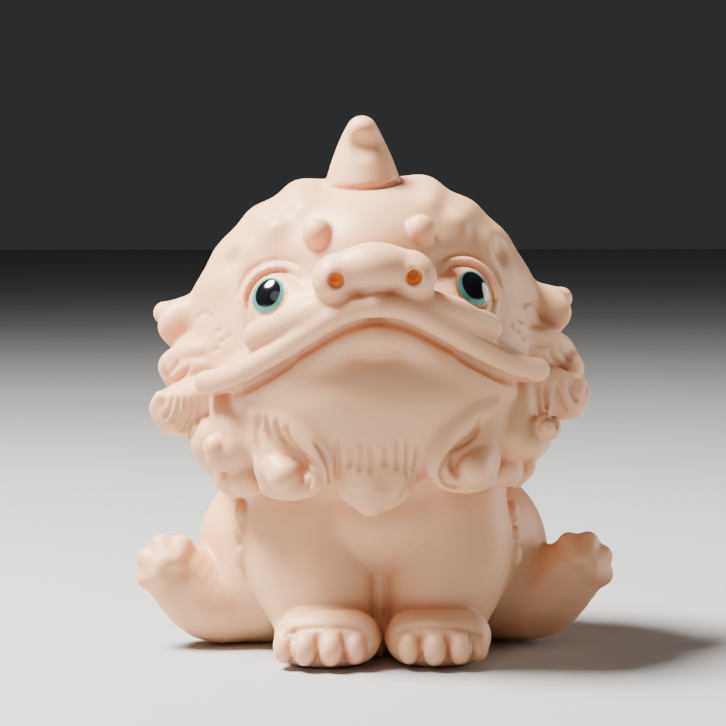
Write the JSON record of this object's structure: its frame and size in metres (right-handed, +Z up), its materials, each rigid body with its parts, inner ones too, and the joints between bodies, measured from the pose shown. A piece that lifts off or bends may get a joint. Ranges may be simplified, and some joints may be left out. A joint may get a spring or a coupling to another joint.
{
  "type": "foo dog figurine",
  "caption": "Small seated foo dog figurine of unglazed cream clay, with one stub horn, a wide frowning lip, curled mane and splayed hind feet.",
  "frame": {"origin": "centre of the footprint box, on the surface that the figurine stands on", "axes": "+Z up through the horn, -Y the way the face looks, +X to the right of someone who looks at the face"},
  "size_m": [0.0728, 0.0626, 0.0804],
  "materials": {
    "clay": "smooth unglazed satin clay, cream to light apricot, with glazed teal and black eyes"
  },
  "bodies": {
    "root": {"foo_dog": "clay"}
  },
  "joints": []
}
